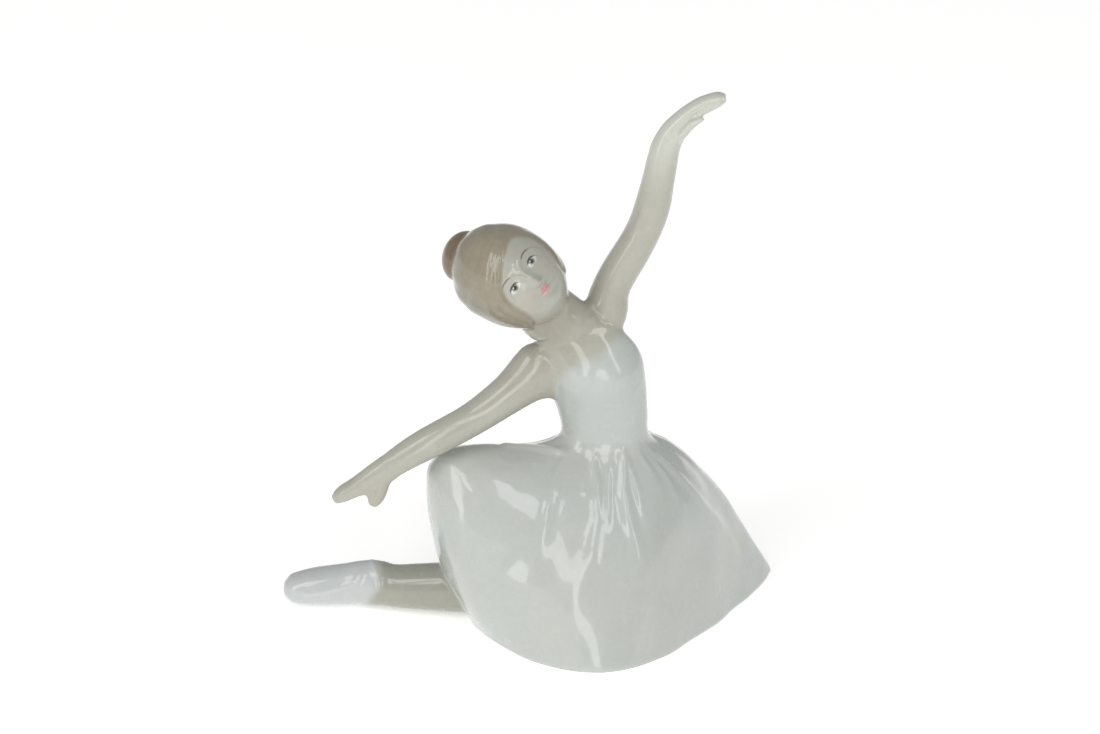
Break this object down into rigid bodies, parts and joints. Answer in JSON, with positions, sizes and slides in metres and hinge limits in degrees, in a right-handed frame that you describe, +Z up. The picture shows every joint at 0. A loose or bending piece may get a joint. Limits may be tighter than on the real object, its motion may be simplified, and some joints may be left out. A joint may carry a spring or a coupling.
{
  "type": "porcelain figurine",
  "caption": "Glazed porcelain dancer kneeling in a wide skirt, one arm raised and the other over the knee; hollow castings luted together on a flat floor.",
  "frame": {"origin": "centre of the outline on the surface that it stands on, under the hem", "axes": "+Z up, -Y the side that the face looks to, +X towards the raised arm and the skirt's pointed corner"},
  "size_m": [0.1385, 0.082, 0.1586],
  "materials": {
    "white_glaze": "cool white porcelain under a clear fired glaze",
    "skin_glaze": "sprayed taupe skin and hair tones with painted face, under a clear fired glaze",
    "leg_glaze": "darker taupe under a clear fired glaze",
    "bun_glaze": "brown under a clear fired glaze",
    "biscuit": "bare unglazed biscuit porcelain, matt"
  },
  "bodies": {
    "root": {"skirt": "white_glaze", "base_disc": "biscuit", "torso": "white_glaze", "head": "skin_glaze", "hair_bun": "bun_glaze", "raised_arm": "skin_glaze", "raised_hand": "skin_glaze", "resting_arm": "skin_glaze", "resting_hand": "skin_glaze", "trailing_leg": "leg_glaze", "slipper": "white_glaze"}
  },
  "joints": []
}
